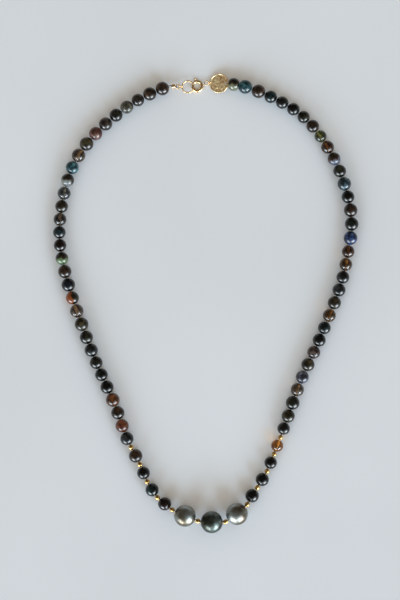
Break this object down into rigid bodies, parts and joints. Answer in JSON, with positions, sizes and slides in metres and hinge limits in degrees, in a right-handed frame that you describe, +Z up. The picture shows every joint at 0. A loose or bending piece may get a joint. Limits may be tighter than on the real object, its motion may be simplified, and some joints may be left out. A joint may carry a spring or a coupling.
{
  "type": "pearl necklace",
  "caption": "Closed strand of polished dark stone beads with dark pearls and gold spacer beads at the front, a domed gold disc and a spring ring clasp.",
  "frame": {"origin": "on the table under the middle of the strand's outline", "axes": "+Y from the front pearls towards the clasp, +X to the wearer's strand's right side as seen from above, +Z up from the table"},
  "size_m": [0.1224, 0.1842, 0.0089],
  "materials": {
    "dark_stone": "polished, semi-translucent, each bead its own colour",
    "silver_pearl": "soft nacre lustre, silver grey with a green cast",
    "peacock_pearl": "soft nacre lustre, very dark green",
    "gold_spacer": "polished gold plate",
    "gold_disc": "hammered, gold plated",
    "gold_finding": "polished gold plate",
    "spring_steel": "bright wire",
    "thread": "dark twisted beading thread"
  },
  "bodies": {
    "strand_left_8": {"stones_left_8": "dark_stone", "thread_left_8": "thread", "crimp_tube": "gold_finding", "crimp_cover": "gold_finding", "wire_guard": "gold_finding"},
    "strand_left_7": {"stones_left_7": "dark_stone", "thread_left_7": "thread"},
    "strand_left_6": {"stones_left_6": "dark_stone", "thread_left_6": "thread"},
    "strand_left_5": {"stones_left_5": "dark_stone", "thread_left_5": "thread"},
    "strand_left_4": {"stones_left_4": "dark_stone", "thread_left_4": "thread"},
    "strand_left_3": {"stones_left_3": "dark_stone", "thread_left_3": "thread"},
    "strand_left_2": {"stones_left_2": "dark_stone", "spacers_left_2": "gold_spacer", "thread_left_2": "thread"},
    "strand_left_1": {"stones_left_1": "dark_stone", "spacers_left_1": "gold_spacer", "thread_left_1": "thread"},
    "strand_pearl_left": {"spacers_pearl_left": "gold_spacer", "thread_pearl_left": "thread"},
    "strand_front": {"spacers_front": "gold_spacer", "thread_front": "thread"},
    "strand_pearl_right": {"spacers_pearl_right": "gold_spacer", "thread_pearl_right": "thread"},
    "strand_right_1": {"stones_right_1": "dark_stone", "spacers_right_1": "gold_spacer", "thread_right_1": "thread"},
    "strand_right_2": {"stones_right_2": "dark_stone", "spacers_right_2": "gold_spacer", "thread_right_2": "thread"},
    "strand_right_3": {"stones_right_3": "dark_stone", "thread_right_3": "thread"},
    "strand_right_4": {"stones_right_4": "dark_stone", "thread_right_4": "thread"},
    "strand_right_5": {"stones_right_5": "dark_stone", "thread_right_5": "thread"},
    "strand_right_6": {"stones_right_6": "dark_stone", "thread_right_6": "thread"},
    "strand_right_7": {"stones_right_7": "dark_stone", "thread_right_7": "thread"},
    "strand_right_8": {"stones_right_8": "dark_stone", "thread_right_8": "thread"},
    "pearl_left": {"pearl_left": "silver_pearl"},
    "pearl_middle": {"pearl_middle": "peacock_pearl"},
    "pearl_right": {"pearl_right": "silver_pearl"},
    "end_link": {"end_link": "gold_finding"},
    "end_ring": {"end_ring": "gold_finding"},
    "connector_disc": {"connector_disc": "gold_disc"},
    "disc_link": {"disc_link": "gold_finding"},
    "clasp_link": {"clasp_link": "gold_finding"},
    "clasp_case": {"clasp_case": "gold_finding", "clasp_spring": "spring_steel"},
    "clasp_bolt": {"clasp_bolt": "gold_finding", "clasp_knob": "gold_finding"}
  },
  "joints": [
    {"name": "flex_left_8", "type": "hinge", "parent": "strand_left_7", "child": "strand_left_8", "pos_m": [-0.03808, 0.07361, 0.00267], "axis": [0, 0, 1], "range_deg": [0, 25]},
    {"name": "flex_left_7", "type": "hinge", "parent": "strand_left_6", "child": "strand_left_7", "pos_m": [-0.05621, 0.04665, 0.00265], "axis": [0, 0, 1], "range_deg": [0, 25]},
    {"name": "flex_left_6", "type": "hinge", "parent": "strand_left_5", "child": "strand_left_6", "pos_m": [-0.05815, 0.0205, 0.00258], "axis": [0, 0, 1], "range_deg": [0, 25]},
    {"name": "flex_left_5", "type": "hinge", "parent": "strand_left_4", "child": "strand_left_5", "pos_m": [-0.05077, -0.00585, 0.00278], "axis": [0, 0, 1], "range_deg": [0, 25]},
    {"name": "flex_left_4", "type": "hinge", "parent": "strand_left_3", "child": "strand_left_4", "pos_m": [-0.04073, -0.03122, 0.00265], "axis": [0, 0, 1], "range_deg": [0, 25]},
    {"name": "flex_left_3", "type": "hinge", "parent": "strand_left_2", "child": "strand_left_3", "pos_m": [-0.03046, -0.0569, 0.00271], "axis": [0, 0, 1], "range_deg": [0, 25]},
    {"name": "flex_left_2", "type": "hinge", "parent": "strand_left_1", "child": "strand_left_2", "pos_m": [-0.02393, -0.07064, 0.00263], "axis": [0, 0, 1], "range_deg": [0, 25]},
    {"name": "flex_left_1", "type": "hinge", "parent": "strand_pearl_left", "child": "strand_left_1", "pos_m": [-0.01431, -0.08228, 0.00313], "axis": [0, 0, 1], "range_deg": [0, 25]},
    {"name": "flex_pearl_left", "type": "hinge", "parent": "strand_front", "child": "strand_pearl_left", "pos_m": [-0.00421, -0.08692, 0.0047], "axis": [0, 0, 1], "range_deg": [0, 25]},
    {"name": "flex_pearl_right", "type": "hinge", "parent": "strand_front", "child": "strand_pearl_right", "pos_m": [0.00898, -0.08722, 0.00475], "axis": [0, 0, -1], "range_deg": [0, 25]},
    {"name": "flex_right_1", "type": "hinge", "parent": "strand_pearl_right", "child": "strand_right_1", "pos_m": [0.01714, -0.07967, 0.00317], "axis": [0, 0, -1], "range_deg": [0, 25]},
    {"name": "flex_right_2", "type": "hinge", "parent": "strand_right_1", "child": "strand_right_2", "pos_m": [0.02504, -0.06644, 0.00259], "axis": [0, 0, -1], "range_deg": [0, 25]},
    {"name": "flex_right_3", "type": "hinge", "parent": "strand_right_2", "child": "strand_right_3", "pos_m": [0.03033, -0.0528, 0.00254], "axis": [0, 0, -1], "range_deg": [0, 25]},
    {"name": "flex_right_4", "type": "hinge", "parent": "strand_right_3", "child": "strand_right_4", "pos_m": [0.03978, -0.02721, 0.00267], "axis": [0, 0, -1], "range_deg": [0, 25]},
    {"name": "flex_right_5", "type": "hinge", "parent": "strand_right_4", "child": "strand_right_5", "pos_m": [0.05059, -0.00248, 0.00267], "axis": [0, 0, -1], "range_deg": [0, 25]},
    {"name": "flex_right_6", "type": "hinge", "parent": "strand_right_5", "child": "strand_right_6", "pos_m": [0.05759, 0.02321, 0.00267], "axis": [0, 0, -1], "range_deg": [0, 25]},
    {"name": "flex_right_7", "type": "hinge", "parent": "strand_right_6", "child": "strand_right_7", "pos_m": [0.05471, 0.05046, 0.00267], "axis": [0, 0, -1], "range_deg": [0, 25]},
    {"name": "flex_right_8", "type": "hinge", "parent": "strand_right_7", "child": "strand_right_8", "pos_m": [0.03732, 0.07624, 0.00252], "axis": [0, 0, -1], "range_deg": [0, 25]},
    {"name": "spin_pearl_left", "type": "hinge", "parent": "strand_pearl_left", "child": "pearl_left", "pos_m": [-0.00832, -0.08515, 0.0044], "axis": [0.9167, -0.3939, 0.067], "continuous": true},
    {"name": "spin_pearl_middle", "type": "hinge", "parent": "strand_front", "child": "pearl_middle", "pos_m": [0.00238, -0.08765, 0.00445], "axis": [0.9995, -0.0309, 0], "continuous": true},
    {"name": "spin_pearl_right", "type": "hinge", "parent": "strand_pearl_right", "child": "pearl_right", "pos_m": [0.01249, -0.08438, 0.00445], "axis": [0.7758, 0.6275, -0.0662], "continuous": true},
    {"name": "lift_end_link", "type": "hinge", "parent": "strand_left_8", "child": "end_link", "pos_m": [-0.0104, 0.08684, 0.0019], "axis": [-0.0262, -0.9997, 0], "range_deg": [0, 30]},
    {"name": "lift_end_ring", "type": "hinge", "parent": "end_link", "child": "end_ring", "pos_m": [-0.00952, 0.08682, 0.00178], "axis": [-0.0262, -0.9997, 0], "range_deg": [0, 75]},
    {"name": "swing_disc", "type": "hinge", "parent": "strand_right_8", "child": "connector_disc", "pos_m": [0.00829, 0.08794, 0.0026], "axis": [0, 0, 1], "range_deg": [-10, 10]},
    {"name": "swing_disc_link", "type": "hinge", "parent": "connector_disc", "child": "disc_link", "pos_m": [0.00252, 0.08844, 0.00101], "axis": [0, 0, 1], "range_deg": [-20, 20]},
    {"name": "swing_clasp_link", "type": "hinge", "parent": "disc_link", "child": "clasp_link", "pos_m": [0.00082, 0.08844, 0.00103], "axis": [0, 0, 1], "range_deg": [-20, 20]},
    {"name": "swing_clasp", "type": "hinge", "parent": "clasp_link", "child": "clasp_case", "pos_m": [-0.00042, 0.08827, 0.00095], "axis": [0, 0, 1], "range_deg": [-20, 20]},
    {"name": "open_clasp_bolt", "type": "hinge", "parent": "clasp_case", "child": "clasp_bolt", "pos_m": [-0.00339, 0.08713, 0.0006], "axis": [0, 0, -1], "range_deg": [0, 55], "stiffness_Nm_per_rad": 0.0006, "springref_deg": -20.05, "deforming": ["clasp_spring"]}
  ]
}
